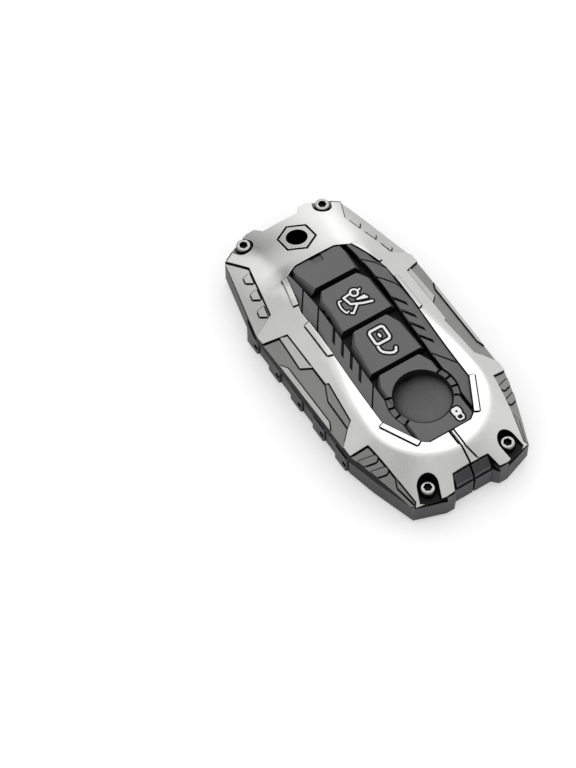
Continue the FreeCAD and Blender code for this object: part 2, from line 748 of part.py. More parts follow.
if __name__ == "__main__":
    main()
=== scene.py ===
# %% [markdown]
# # A key fob cover in plated metal and silicone
# The cover is a clamshell: a satin silver front, a dark rear, a silicone keypad in the window and four
# small screws. Its shapes come from the CAD model, which is loaded here as a fixed frame.
# This lesson gives each piece its finish, and adds what is too fine for the CAD: screws with real sockets,
# the pits in the grips, painted shade in the corners, the pictograms on the keys, and the light.

# %% Load the CAD frame
import bpy
import bmesh
import math
import numpy as np
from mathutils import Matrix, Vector
from mathutils.bvhtree import BVHTree


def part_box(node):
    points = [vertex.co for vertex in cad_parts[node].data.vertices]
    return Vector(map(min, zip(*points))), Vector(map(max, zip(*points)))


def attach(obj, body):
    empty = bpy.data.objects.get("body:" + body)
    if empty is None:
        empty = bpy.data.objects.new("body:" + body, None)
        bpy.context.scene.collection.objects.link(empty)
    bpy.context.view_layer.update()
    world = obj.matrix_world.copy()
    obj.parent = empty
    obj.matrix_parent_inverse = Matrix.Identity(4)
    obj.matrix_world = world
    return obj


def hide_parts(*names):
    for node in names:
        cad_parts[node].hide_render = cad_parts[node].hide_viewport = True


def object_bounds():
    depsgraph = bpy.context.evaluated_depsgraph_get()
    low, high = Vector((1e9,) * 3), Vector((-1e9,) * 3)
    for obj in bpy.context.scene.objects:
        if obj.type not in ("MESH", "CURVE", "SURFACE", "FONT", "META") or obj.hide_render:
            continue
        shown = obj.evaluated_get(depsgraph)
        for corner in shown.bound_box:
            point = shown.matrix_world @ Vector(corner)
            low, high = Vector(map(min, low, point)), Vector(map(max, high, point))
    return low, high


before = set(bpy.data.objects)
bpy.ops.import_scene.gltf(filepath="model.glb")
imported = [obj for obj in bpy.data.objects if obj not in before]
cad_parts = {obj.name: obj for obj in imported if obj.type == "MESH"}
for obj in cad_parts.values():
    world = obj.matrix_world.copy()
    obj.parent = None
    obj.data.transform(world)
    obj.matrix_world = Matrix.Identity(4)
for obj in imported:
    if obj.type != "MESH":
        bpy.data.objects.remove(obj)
cad_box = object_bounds()
MM = 0.001
print("CAD nodes:", sorted(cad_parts))

# %% [markdown]
# ## Helpers for materials
# Colours are written as sRGB hex, as a paint chart would give them, and Blender wants linear light, so one
# function converts them. One more adds any node to any tree, sets its options and links its sockets.
# That keeps each material below a short recipe that can be read from top to bottom.

# %% Colour and node helpers
# Sockets of a Mix node that mixes colours: its factor, its two colours, and its result
FACTOR, FIRST, SECOND, MIXED = 0, 6, 7, 2


def linear(code):
    """sRGB hex to the linear RGBA that shaders use."""
    parts = [int(code[i:i + 2], 16) / 255 for i in (1, 3, 5)]
    return tuple(c / 12.92 if c <= 0.04045 else ((c + 0.055) / 1.055) ** 2.4 for c in parts) + (1.0,)


def add(tree, kind, inputs=None, **settings):
    """Adds a node, sets its options, and gives each named input a value or a link."""
    made = tree.nodes.new(kind)
    for name, value in settings.items():
        setattr(made, name, value)
    for name, value in (inputs or {}).items():
        if isinstance(value, bpy.types.NodeSocket):
            tree.links.new(value, made.inputs[name])
        else:
            made.inputs[name].default_value = value
    return made


def new_finish(name, **inputs):
    """An empty material with one Principled shader, and the tree to build it in."""
    finish = bpy.data.materials.new(name)
    finish.use_nodes = True
    shader = finish.node_tree.nodes["Principled BSDF"]
    for socket, value in inputs.items():
        shader.inputs[socket.replace("_", " ")].default_value = value
    return finish, finish.node_tree, shader


def drive(tree, shader, **sources):
    """Links what varies over a surface to the shader's sockets."""
    for socket, source in sources.items():
        tree.links.new(source, shader.inputs[socket.replace("_", " ")])


print("mid grey", [round(c, 3) for c in linear("#808080")])

# %% [markdown]
# ## Satin nickel on die-cast zinc
# The front half is a zinc casting, tumbled smooth and plated with satin nickel. Plating gives a clean grey
# metal with a broad, soft highlight, and the tumbling leaves a faint grain that breaks the reflection up.
# Plating is thinner and rubbed brighter along edges, and the corners are darkened with painted shade.
# The Bevel node finds the edges, the Ambient Occlusion node finds the corners for the painted shade, and both
# work from any side.

# %% Recipe for a metal
cloud_mm, painted_shade_reach_mm = 5.0, 0.55


def metal_finish(name, light, dark, roughness, grain_mm, edge, corner, soft_edge_mm):
    """Plated or painted casting: cloudy tone, fine grain, bright edges and painted shade in the corners."""
    finish, tree, shader = new_finish(name, Metallic=1.0)
    where = add(tree, "ShaderNodeTexCoord").outputs["Object"]
    # Clouds a few millimetres across, as tumbling leaves them
    clouds = add(tree, "ShaderNodeTexNoise", {"Vector": where, "Scale": 1 / (cloud_mm * MM), "Detail": 3.0})
    # The true grain is about 0.05 mm and is drawn coarser, so that it shows in the picture
    grain = add(tree, "ShaderNodeTexNoise", {"Vector": where, "Scale": 1 / (grain_mm * MM), "Detail": 2.0})
    tone = add(tree, "ShaderNodeMix", {FACTOR: clouds.outputs["Fac"], FIRST: linear(dark),
                                       SECOND: linear(light)}, data_type="RGBA")
    bevel = add(tree, "ShaderNodeBevel", {"Radius": soft_edge_mm * MM}, samples=6)
    flat = add(tree, "ShaderNodeNewGeometry").outputs["Normal"]
    turn = add(tree, "ShaderNodeVectorMath", {0: bevel.outputs["Normal"], 1: flat}, operation="DOT_PRODUCT")
    rub = add(tree, "ShaderNodeMapRange", {"Value": turn.outputs["Value"], "From Min": 0.99, "From Max": 0.90,
                                           "To Min": 0.0, "To Max": 0.6})
    rubbed = add(tree, "ShaderNodeMix", {FACTOR: rub.outputs["Result"], FIRST: tone.outputs[MIXED],
                                         SECOND: linear(edge)}, data_type="RGBA")
    # Painted shade: near walls the Ambient Occlusion node darkens the colour towards the corner colour
    painted_shade_ao = add(tree, "ShaderNodeAmbientOcclusion", {"Distance": painted_shade_reach_mm * MM}, samples=8)
    shade = add(tree, "ShaderNodeMapRange", {"Value": painted_shade_ao.outputs["AO"], "From Min": 0.72, "From Max": 0.97,
                                             "To Min": 1.0, "To Max": 0.0})
    colour = add(tree, "ShaderNodeMix", {FACTOR: shade.outputs["Result"], FIRST: rubbed.outputs[MIXED],
                                         SECOND: linear(corner)}, data_type="RGBA")
    rough = add(tree, "ShaderNodeMapRange", {"Value": grain.outputs["Fac"], "To Min": roughness - 0.02,
                                             "To Max": roughness + 0.02})
    bump = add(tree, "ShaderNodeBump", {"Height": grain.outputs["Fac"], "Strength": 0.015,
                                        "Distance": 0.02 * MM, "Normal": bevel.outputs["Normal"]})
    drive(tree, shader, Base_Color=colour.outputs[MIXED], Roughness=rough.outputs["Result"],
          Normal=bump.outputs["Normal"])
    return finish


print("clouds", cloud_mm, "mm, corners", painted_shade_reach_mm, "mm")

# %% Metals of the cover
# Satin nickel plate, tumbled: pale grey with a broad, soft highlight
satin_nickel = metal_finish("satin_nickel_plate", "#e9e9e8", "#dededd", 0.28, 0.25, "#f4f4f2", "#161616", 0.18)
# The same plate, finely blasted: a shade duller, so that standing slabs part from the skin
fine_nickel = metal_finish("fine_blasted_nickel", "#d6d6d5", "#cbcbca", 0.34, 0.28, "#eeeeec", "#121212", 0.12)
# The same plate, bead blasted: mid grey and matt in the sunk panels, and darker partly as painted shade
blasted_nickel_and_shade = metal_finish("bead_blasted_nickel", "#a2a2a1", "#959594", 0.40, 0.30, "#c4c4c2", "#0e0e0e",
                              soft_edge_mm=0.12)
# Painted shade: near black, put on steep walls, grooves, screw pockets and grip pits, with a dull sheen
painted_shade_black = metal_finish("black_lacquer_in_grooves", "#2a2a2a", "#1d1d1d", 0.50, 0.30, "#4c4c4c", "#0c0c0c",
                              soft_edge_mm=0.08)
# Zinc as it leaves the mould: rough and grey, inside the cover and on bare screw seats
cast_inside = metal_finish("as_cast_zinc", "#8d8d8c", "#7a7a79", 0.55, 0.45, "#a5a5a4", "#303030", 0.15)
# Gunmetal plate on the rear half: dark, slightly blue, with brighter rubbed edges
gunmetal = metal_finish("gunmetal_plate", "#6d6d6f", "#606062", 0.38, 0.28, "#8a8a8c", "#101010", 0.20)
# Turned and polished screw steel: small sharp highlights on the rim
screw_steel = metal_finish("polished_screw_steel", "#b4b4b2", "#a6a6a4", 0.22, 0.20, "#f0f0ee", "#151515", 0.10)
# Turned bar steel of the bush: as pale as the plate round it
bush_steel = metal_finish("turned_bush_steel", "#dcdcda", "#cfcfcd", 0.27, 0.22, "#f2f2f0", "#202020", 0.12)
# Black oxide in sockets and bores: no highlight to speak of
socket_black = metal_finish("black_oxide_socket", "#262626", "#1a1a1a", 0.45, 0.20, "#3a3a3a", "#050505", 0.06)
print("finishes with the metals:", len(bpy.data.materials))

# %% [markdown]
# ## Silicone, ink and foam
# The keypad is moulded silicone: a soft matt grey with almost no highlight and a very fine pebble from the
# spark-eroded mould. The pictograms are printed in white with a black keyline. The pad behind the fob is
# closed-cell foam, black and open-pored to the eye.

# %% Recipe for silicone
def silicone_finish(name, light, dark, corner, silicone_shade_reach_mm, closed=0.15, open_air=0.85):
    """Moulded silicone: soft clouds, fine pebble, and painted shade where walls stand near."""
    finish, tree, shader = new_finish(name, IOR=1.41, Specular_IOR_Level=0.35)
    where = add(tree, "ShaderNodeTexCoord").outputs["Object"]
    clouds = add(tree, "ShaderNodeTexNoise", {"Vector": where, "Scale": 1 / (7 * MM), "Detail": 2.0})
    # Mould pebble of about 0.1 mm, drawn at 0.22 mm so that it shows
    pebble = add(tree, "ShaderNodeTexVoronoi", {"Vector": where, "Scale": 1 / (0.22 * MM)})
    tone = add(tree, "ShaderNodeMix", {FACTOR: clouds.outputs["Fac"], FIRST: linear(dark),
                                       SECOND: linear(light)}, data_type="RGBA")
    bevel = add(tree, "ShaderNodeBevel", {"Radius": 0.22 * MM}, samples=6)
    # Painted shade: near walls the Ambient Occlusion node darkens the colour towards the corner colour
    painted_shade_ao = add(tree, "ShaderNodeAmbientOcclusion", {"Distance": silicone_shade_reach_mm * MM}, samples=8)
    shade = add(tree, "ShaderNodeMapRange", {"Value": painted_shade_ao.outputs["AO"], "From Min": closed,
                                             "From Max": open_air, "To Min": 1.0, "To Max": 0.0})
    colour = add(tree, "ShaderNodeMix", {FACTOR: shade.outputs["Result"], FIRST: tone.outputs[MIXED],
                                         SECOND: linear(corner)}, data_type="RGBA")
    rough = add(tree, "ShaderNodeMapRange", {"Value": pebble.outputs["Distance"], "To Min": 0.48,
                                             "To Max": 0.62})
    bump = add(tree, "ShaderNodeBump", {"Height": pebble.outputs["Distance"], "Strength": 0.10,
                                        "Distance": 0.02 * MM, "Normal": bevel.outputs["Normal"]})
    drive(tree, shader, Base_Color=colour.outputs[MIXED], Roughness=rough.outputs["Result"],
          Normal=bump.outputs["Normal"])
    return finish


# Keypad grey: matt, soft at every edge, with painted shade near walls
silicone_grey = silicone_finish("moulded_silicone_grey", "#6e6e6e", "#666666", "#121212", 2.4)
# Painted shade: the same silicone darkened nearly to black deep in slots, where little light comes in
silicone_painted_shade = silicone_finish("moulded_silicone_in_slots", "#161616", "#0f0f0f", "#040404", 2.4)
# The floor of the finger dish, with painted shade that darkens it towards its wall
silicone_dish_shade = silicone_finish("moulded_silicone_worn_in_dish", "#686868", "#606060", "#040404", 10.0,
                                closed=0.80, open_air=1.0)
print("finishes with the silicone:", len(bpy.data.materials))

# %% Ink and foam
def print_finish(name, light, dark, roughness):
    """Pad-printed ink: flat, with the slight mottle of a thin film."""
    finish, tree, shader = new_finish(name, Roughness=roughness, Specular_IOR_Level=0.1)
    where = add(tree, "ShaderNodeTexCoord").outputs["Object"]
    mottle = add(tree, "ShaderNodeTexNoise", {"Vector": where, "Scale": 1 / (0.5 * MM), "Detail": 2.0})
    tone = add(tree, "ShaderNodeMix", {FACTOR: mottle.outputs["Fac"], FIRST: linear(dark),
                                       SECOND: linear(light)}, data_type="RGBA")
    drive(tree, shader, Base_Color=tone.outputs[MIXED])
    return finish


# Opaque white and matt black pad-printing inks
white_ink = print_finish("white_pad_print", "#fbfbfb", "#f4f4f4", 0.55)
black_ink = print_finish("black_pad_print", "#060606", "#030303", 0.60)

# Die-cut polyethylene foam: black, and matt because its cells trap the light
foam_black, tree, shader = new_finish("closed_cell_foam_black", Roughness=0.95, Specular_IOR_Level=0.2)
where = add(tree, "ShaderNodeTexCoord").outputs["Object"]
# Foam cells of about 0.3 mm, drawn at 0.6 mm
cells = add(tree, "ShaderNodeTexVoronoi", {"Vector": where, "Scale": 1 / (0.6 * MM)})
tone = add(tree, "ShaderNodeMix", {FACTOR: cells.outputs["Distance"], FIRST: linear("#121212"),
                                   SECOND: linear("#262626")}, data_type="RGBA")
bump = add(tree, "ShaderNodeBump", {"Height": cells.outputs["Distance"], "Strength": 0.5, "Distance": 0.1 * MM})
drive(tree, shader, Base_Color=tone.outputs[MIXED], Normal=bump.outputs["Normal"])
print("finishes in all:", len(bpy.data.materials))

# %% [markdown]
# ## The skin of the front shell
# The front has a simple rule: a crown line in side view, swept across, meets a roof that falls at 34 degrees
# on both flanks and round the tail. In the CAD the two meet in a narrow rounded ridge. On the real casting,
# tumbling and plating wash the ridge out into a soft blend, most of all at the eyelet end.
# The rule is written here as a height above the table in millimetres, sharp or soft, and everything else
# follows from it: how deep a face lies under the skin, which finish it gets, where its corners move, and the
# true normals for the highlights.

# %% Crown line
crown_points = np.array([(48, 9.2), (37, 13.1), (28, 15.2), (13, 18.1), (4, 17.5), (-4, 16.2), (-12, 15.15),
                         (-20, 14.7), (-34, 14.5), (-48, 14.5)])[::-1]


def spline_slopes(points):
    """Slopes of the smooth line through points, from the natural cubic spline."""
    n = len(points)
    y, z = points.T
    left = np.zeros((n, n))
    right = np.zeros(n)
    for i in range(1, n - 1):
        a, b = 1 / (y[i] - y[i - 1]), 1 / (y[i + 1] - y[i])
        left[i, i - 1:i + 2] = a, 2 * (a + b), b
        right[i] = 3 * ((z[i] - z[i - 1]) * a ** 2 + (z[i + 1] - z[i]) * b ** 2)
    left[0, :2], right[0] = (2, 1), 3 * (z[1] - z[0]) / (y[1] - y[0])
    left[-1, -2:], right[-1] = (1, 2), 3 * (z[-1] - z[-2]) / (y[-1] - y[-2])
    return np.linalg.solve(left, right)


crown_slopes = spline_slopes(crown_points)


def crown(y):
    """Height of the crown line at places along the cover."""
    i = np.clip(np.searchsorted(crown_points[:, 0], y) - 1, 0, len(crown_points) - 2)
    y0, z0 = crown_points[i, 0], crown_points[i, 1]
    y1, z1 = crown_points[i + 1, 0], crown_points[i + 1, 1]
    t = (y - y0) / (y1 - y0)
    s0, s1 = crown_slopes[i] * (y1 - y0), crown_slopes[i + 1] * (y1 - y0)
    return z0 + s0 * t + (3 * (z1 - z0) - 2 * s0 - s1) * t ** 2 + (2 * (z0 - z1) + s0 + s1) * t ** 3


print("crown peak", round(float(crown(np.linspace(0, 25, 200)).max()), 2), "mm")

# %% Height of the skin
ridge_z, ridge_half, bend_y, tail_centre_y = 14.3, 16.7, 14.0, -21.2
fall_rate = math.tan(math.radians(34.0))
taper, bend_blend = math.radians(14.4), 1.5
# The land round the eyelet is slightly domed, and the dome fades in between two places
dome_from_y, dome_to_y, dome_curve = 22, 30, 160
# How broad the washed-out ridge is, at places along the cover
wash_y = (-45, -20, -8, 2, 10, 18, 26, 46)
wash_mm = (0.5, 0.5, 0.9, 1.4, 1.0, 1.0, 3.2, 3.2)


def lower_of(a, b, blend):
    """The lower of two heights, with the corner between them rounded over a blend."""
    near = np.maximum(blend - np.abs(a - b), 0) / blend
    return np.minimum(a, b) - near ** 2 * blend / 4


def skin(x, y, soft):
    """Height of the front's skin, sharp as in the CAD for soft = 0 and washed out for soft = 1."""
    hair = 1e-6
    out = np.abs(x) - ridge_half
    drawn = out * math.cos(taper) + (y - bend_y) * math.sin(taper)
    round_tail = np.hypot(x, y - tail_centre_y) - ridge_half
    away = np.where(y < tail_centre_y, round_tail, -lower_of(-out, -drawn, bend_blend * soft + hair))
    t = np.clip((y - dome_from_y) / (dome_to_y - dome_from_y), 0, 1)
    dome = soft * t * t * (3 - 2 * t) * x ** 2 / dome_curve
    return lower_of(crown(y) - dome, ridge_z - away * fall_rate, soft * np.interp(y, wash_y, wash_mm) + hair)


def skin_normal(x, y):
    """Normal of the soft skin, from its slopes over a short step."""
    d = 0.05
    lean_x = (skin(x + d, y, 1) - skin(x - d, y, 1)) / (2 * d)
    lean_y = (skin(x, y + d, 1) - skin(x, y - d, 1)) / (2 * d)
    normal = np.stack([-lean_x, -lean_y, np.ones_like(lean_x)], -1)
    return normal / np.linalg.norm(normal, axis=-1, keepdims=True)


def depth_under_skin(points):
    """How far points lie under the sharp skin of the front."""
    x, y, z = np.moveaxis(points, -1, 0)
    return skin(x, y, 0) - z


washed = float(skin(ridge_half, dome_to_y, 0) - skin(ridge_half, dome_to_y, 1))
print("ridge washed down by", round(washed, 2), "mm where the dome is full")

# %% [markdown]
# ## Copies of the CAD pieces
# Each piece is a copy of its CAD node with the loose triangles merged, so that it can be shaded smoothly.
# Edges that turn by more than a set angle stay crisp, and a copy takes the node's place on its body.

# %% Merge a copy and seat a piece
merge_mm, crisp_angle = 0.0005, math.radians(21)


def shade_smooth(shape, crisp):
    """Shades all faces smoothly, up to edges that turn by more than the crisp angle."""
    for face in shape.faces:
        face.smooth = True
    for edge in shape.edges:
        edge.smooth = len(edge.link_faces) == 2 and edge.calc_face_angle() < crisp


def merged(node):
    """Merged copy of a CAD node as a bmesh of triangles, with crisp edges marked."""
    shape = bmesh.new()
    shape.from_mesh(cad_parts[node].data)
    bmesh.ops.remove_doubles(shape, verts=shape.verts, dist=merge_mm * MM)
    bmesh.ops.dissolve_degenerate(shape, edges=shape.edges, dist=merge_mm * MM)
    bmesh.ops.triangulate(shape, faces=[f for f in shape.faces if len(f.verts) > 3])
    shade_smooth(shape, crisp_angle)
    return shape


def to_mesh(shape, name, finishes):
    """Turns a bmesh into a mesh with its finishes."""
    mesh = bpy.data.meshes.new(name)
    shape.to_mesh(mesh)
    shape.free()
    for finish in finishes:
        mesh.materials.append(finish)
    return mesh


def show(data, name):
    """Puts a mesh, a lamp or a camera into the scene as an object."""
    piece = bpy.data.objects.new(name, data)
    bpy.context.scene.collection.objects.link(piece)
    return piece


def seat(mesh, name, body, slot, *nodes):
    """Makes a piece that rides on a body and stands for CAD nodes."""
    piece = show(mesh, name)
    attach(piece, body)
    if nodes:
        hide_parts(*nodes)
    print(name, len(mesh.polygons), "faces")
    return piece


def place(shape, name, finishes, body, slot, *nodes):
    """Seats a bmesh with its finishes."""
    return seat(to_mesh(shape, name, finishes), name, body, slot, *nodes)


print("nodes to copy:", len(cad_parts))

# %% Fit a copy to the skin
slice_mm = 1.5
# Corners this far over and under the sharp skin lie on it, and lower ones on a sunk floor
skin_over, skin_under = 0.02, 0.13


def corners_of(shape):
    """Corners in millimetres and normals of all faces, as arrays."""
    shape.faces.ensure_lookup_table()
    corners = np.array([[v.co for v in face.verts] for face in shape.faces]) / MM
    normals = np.array([face.normal for face in shape.faces])
    return corners, normals


def paint(shape, numbers):
    """Gives each face the number of its finish."""
    for face, number in zip(shape.faces, numbers):
        face.material_index = int(number)


def verts_of(faces):
    """All corners of some faces, each once and in a fixed order."""
    return list(dict.fromkeys(v for face in faces for v in face.verts))


def settle(shape, chosen):
    """Lowers the corners of chosen faces from the sharp skin to the soft one."""
    verts = verts_of(face for face in shape.faces if face.index in chosen)
    x, y, z = np.array([v.co for v in verts]).T / MM
    sharp, soft = skin(x, y, 0), skin(x, y, 1)
    on_skin = (sharp - z > -skin_over) & (sharp - z < skin_under)
    settled = np.where(on_skin, np.minimum(z, soft), z - (sharp - soft))
    for v, height in zip(verts, settled):
        v.co.z = height * MM


def slice_up(shape, picked):
    """Slices picked faces along a grid, so that they can follow a curved skin, and returns their indices."""
    mark = shape.faces.layers.int.new("picked")
    for face, pick in zip(shape.faces, picked):
        face[mark] = int(pick)
    for axis in (0, 1):
        places = [v.co[axis] / MM for v in shape.verts]
        for place_mm in np.arange(min(places) + slice_mm, max(places), slice_mm):
            faces = [f for f in shape.faces if f[mark]]
            touched = verts_of(faces) + list(dict.fromkeys(e for f in faces for e in f.edges)) + faces
            where, aim = Vector((0, 0, 0)), Vector((0, 0, 0))
            where[axis], aim[axis] = place_mm * MM, 1.0
            bmesh.ops.bisect_plane(shape, geom=touched, dist=1e-7, plane_co=where, plane_no=aim)
    shape.faces.index_update()
    return {f.index for f in shape.faces if f[mark]}


def skin_loops(mesh, chosen):
    """Gives the corners of chosen faces the normals of the soft skin, and leaves the others as they are."""
    places = np.array([v.co for v in mesh.vertices]) / MM
    at = np.array([loop.vertex_index for loop in mesh.loops])
    picked = [i for face in mesh.polygons if face.index in chosen for i in face.loop_indices]
    normals = np.zeros((len(at), 3))
    normals[picked] = skin_normal(places[at[picked], 0], places[at[picked], 1])
    mesh.normals_split_custom_set(normals.tolist())


print("skin sliced every", slice_mm, "mm")

# %% [markdown]
# ## Front shell
# Sunk panels, grooves and screw pockets are found by their depth under the skin. The panels are blasted,
# finer at the eyelet end and coarser towards the tail, and their darker tone towards the tail is partly painted
# shade.
# Steep walls, screw pockets and the upright edge above the joint are painted near black as shade, which draws the
# crisp dark lines.

# %% Finish by depth
SATIN, FINE, BLASTED_AND_SHADE, PAINTED_SHADE, CAST = range(5)
# A face is level or steep by how far its normal rises
level_rise = 0.5
slab_depth, sunk_depth, sunk_floor = 0.2, 0.5, 0.95
pocket_radius, flank_x, fine_from_y = 3.1, 13, 17.5
# Slabs towards the tail get the darker blasted tone too, partly as painted shade: those inside a half width, and
# all past a place along the cover
strip_y, strip_half, strip_tail_y = -3, 20.5, -22

shape = merged("front_shell")
corners, normals = corners_of(shape)
middle = corners.mean(1)
depth = depth_under_skin(corners).mean(1)
half_width, place_y = np.abs(middle[:, 0]), middle[:, 1]
steep = np.abs(normals[:, 2]) < level_rise
level = normals[:, 2] > level_rise
screw_boxes = [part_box(n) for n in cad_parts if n.startswith("screw")]
screw_spots = np.array([((lo + hi) / 2)[:2] for lo, hi in screw_boxes]) / MM
from_screw = np.linalg.norm(middle[:, None, :2] - screw_spots, axis=2).min(1)
in_pocket = (from_screw < pocket_radius) & (depth > sunk_depth) & (normals[:, 2] > -level_rise)
bare_seat = in_pocket & level & (place_y > 0)
sunk = level & (depth >= sunk_depth) & (depth < sunk_floor)
slab = level & (depth >= slab_depth) & (depth < sunk_depth) & (half_width > flank_x)
slab_in_painted_shade = slab & (place_y < strip_y) & ((half_width < strip_half) | (place_y < strip_tail_y))

finish_of = np.full(len(middle), CAST)
finish_of[level & (depth < sunk_depth)] = SATIN
finish_of[slab | (sunk & (place_y > fine_from_y))] = FINE
# Blasted finish and partly painted shade: the sunk panels towards the tail and the slabs there take the darker
# tone
finish_of[slab_in_painted_shade | (sunk & (place_y <= fine_from_y))] = BLASTED_AND_SHADE
# Painted shade: every steep face, panel walls and the upright edge above the joint, goes near black
finish_of[steep] = PAINTED_SHADE
finish_of[bare_seat] = CAST
# Painted shade: the walls of the screw pockets go near black
finish_of[in_pocket & ~bare_seat] = PAINTED_SHADE
paint(shape, finish_of)
print("faces per finish:", np.bincount(finish_of).tolist())

# %% Wash the ridge out
proud, alike_angle = 0.45, math.radians(22)
follows = level & (depth > -proud) & (depth < sunk_floor) & ~in_pocket
alike = np.einsum("ij,ij->i", skin_normal(middle[:, 0], middle[:, 1]), normals)
skin_faces = slice_up(shape, follows & (alike > math.cos(alike_angle)))
settle(shape, skin_faces)
front_finishes = [satin_nickel, fine_nickel, blasted_nickel_and_shade, painted_shade_black, cast_inside]
front = place(shape, "front_shell_plated", front_finishes, "front_half", "satin_silver", "front_shell")
skin_loops(front.data, skin_faces)

# %% [markdown]
# ## Painted shade lines
# A near-black line about 0.3 mm wide is painted as shade in every inner corner. Such a corner is an edge between
# a face that follows the skin and a wall that rises from it, so each of these edges gets a thin ribbon that lies
# on the floor. Where the floor itself is narrower than the line, the ribbon is narrower too.

# %% A ribbon along each inner corner
line_widths, line_lift, floor_gap = (0.32, 0.2, 0.1), 0.012 * MM, 0.02 * MM
# An edge that folds inwards by more than this, in radians, is an inner corner
inner_angle = -0.5
plated = bmesh.new()
plated.from_mesh(front.data)
plated_tree = BVHTree.FromBMesh(plated)
# Ribbons of near-black painted shade, one along each inner corner
ribbons = bmesh.new()
for edge in plated.edges:
    floors = [f for f in edge.link_faces if f.index in skin_faces]
    walls = [f for f in edge.link_faces if f.index not in skin_faces]
    if len(floors) == 1 and len(walls) == 1 and edge.calc_face_angle_signed() < inner_angle:
        start, end = (v.co for v in edge.verts)
        normal = floors[0].normal
        inward = normal.cross(end - start).normalized() * MM
        if inward.dot(floors[0].calc_center_median() - start) < 0:
            inward.negate()
        for width in line_widths:
            far = [end + inward * width, start + inward * width]
            if all(plated_tree.find_nearest(p)[3] < floor_gap for p in far):
                raised = [p + normal * line_lift for p in [start, end] + far]
                ribbon = ribbons.faces.new([ribbons.verts.new(p) for p in raised])
                ribbon.normal_update()
                if ribbon.normal.dot(normal) < 0:
                    ribbon.normal_flip()
                break
for vert in ribbons.verts:
    vert.co.x = min(max(vert.co.x, cad_box[0][0]), cad_box[1][0])
plated.free()
place(ribbons, "lacquer_lines", [painted_shade_black], "front_half", "satin_silver")

# %% [markdown]
# ## Grip pits in the rear shell
# Each grip pad has a round pit near its tail end. They repeat, so Geometry Nodes lay out one cutter per
# pad along a line, and a Boolean modifier presses them into the copy of the rear shell.

# %% Run a tree
def named_input(tree, name, kind, value):
    """Gives a tree a named input, and returns the identifier that a modifier sets it by."""
    socket = tree.interface.new_socket(name, in_out="INPUT", socket_type=kind)
    socket.default_value = value
    return socket.identifier


def run_tree(tree, values, start):
    """Evaluates a tree on a mesh to start from, and returns the plain mesh that it makes."""
    carrier = show(start, start.name)
    modifier = carrier.modifiers.new(start.name, "NODES")
    modifier.node_group = tree
    for identifier, value in values.items():
        modifier[identifier] = value
    made = bpy.data.meshes.new_from_object(carrier.evaluated_get(bpy.context.evaluated_depsgraph_get()))
    bpy.data.objects.remove(carrier)
    return made


# %% A row of cutters from Geometry Nodes
first_pit = (0.0, 18.7 * MM, 3.6 * MM)
pits = bpy.data.node_groups.new("grip_pits", "GeometryNodeTree")
pits.interface.new_socket("Geometry", in_out="OUTPUT", socket_type="NodeSocketGeometry")
pit_inputs = {"Count": ("NodeSocketInt", 5), "Pitch": ("NodeSocketFloat", 10.1 * MM),
              "Radius": ("NodeSocketFloat", 0.8 * MM), "Depth": ("NodeSocketFloat", 0.45 * MM),
              "First": ("NodeSocketVector", (0.0, 0.0, 0.0)), "Half Width": ("NodeSocketFloat", 23.1 * MM)}
pit_ids = {name: named_input(pits, name, *kind) for name, kind in pit_inputs.items()}
given = add(pits, "NodeGroupInput").outputs
backwards = add(pits, "ShaderNodeMath", {0: given["Pitch"], 1: -1.0}, operation="MULTIPLY")
step = add(pits, "ShaderNodeCombineXYZ", {"Y": backwards.outputs[0]})
row = add(pits, "GeometryNodeMeshLine", {"Count": given["Count"], "Start Location": given["First"],
                                         "Offset": step.outputs[0]})
twice = add(pits, "ShaderNodeMath", {0: given["Depth"], 1: 2.0}, operation="MULTIPLY")
drill = add(pits, "GeometryNodeMeshCylinder", {"Vertices": 28, "Radius": given["Radius"],
                                               "Depth": twice.outputs[0]})
both = add(pits, "GeometryNodeJoinGeometry")
for hand in (-1.0, 1.0):
    across = add(pits, "ShaderNodeMath", {0: given["Half Width"], 1: hand}, operation="MULTIPLY")
    move = add(pits, "ShaderNodeCombineXYZ", {"X": across.outputs[0]})
    moved = add(pits, "GeometryNodeTransform", {"Geometry": row.outputs["Mesh"],
                                                "Translation": move.outputs[0]})
    drills = add(pits, "GeometryNodeInstanceOnPoints", {"Points": moved.outputs[0],
                                                        "Instance": drill.outputs["Mesh"],
                                                        "Rotation": (0.0, math.radians(90), 0.0)})
    pits.links.new(drills.outputs[0], both.inputs[0])
solid = add(pits, "GeometryNodeRealizeInstances", {"Geometry": both.outputs[0]})
# Painted shade: the cutters are near black, and the pits pressed by them take that colour
pits_in_painted_shade = add(pits, "GeometryNodeSetMaterial", {"Geometry": solid.outputs[0], "Material": painted_shade_black})
add(pits, "NodeGroupOutput", {0: pits_in_painted_shade.outputs[0]})
low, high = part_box("rear_shell")
pit_mesh = run_tree(pits, {pit_ids["First"]: first_pit, pit_ids["Half Width"]: high.x},
                    bpy.data.meshes.new("grip_pit_cutters"))
print("cutter faces:", len(pit_mesh.polygons))

# %% Press the pits into the rear shell
floor_from_z, floor_to_z, floor_rise = 1.0, 3.0, 0.9
shape = merged("rear_shell")
corners, normals = corners_of(shape)
middle = corners.mean(1)
at_floor = (middle[:, 2] > floor_from_z) & (middle[:, 2] < floor_to_z)
paint(shape, at_floor & (np.abs(normals[:, 2]) > floor_rise))
blank = show(to_mesh(shape, "rear_shell_blank", [gunmetal, cast_inside, painted_shade_black]), "rear_shell_blank")
cutter = show(pit_mesh, "grip_pit_cutters")
press = blank.modifiers.new("pits", "BOOLEAN")
press.object = cutter
press.solver = "EXACT"
press.material_mode = "TRANSFER"
pressed = bpy.data.meshes.new_from_object(blank.evaluated_get(bpy.context.evaluated_depsgraph_get()))
bpy.data.objects.remove(blank)
bpy.data.objects.remove(cutter)
seat(pressed, "rear_shell_gunmetal", "rear_half", "gunmetal", "rear_shell")

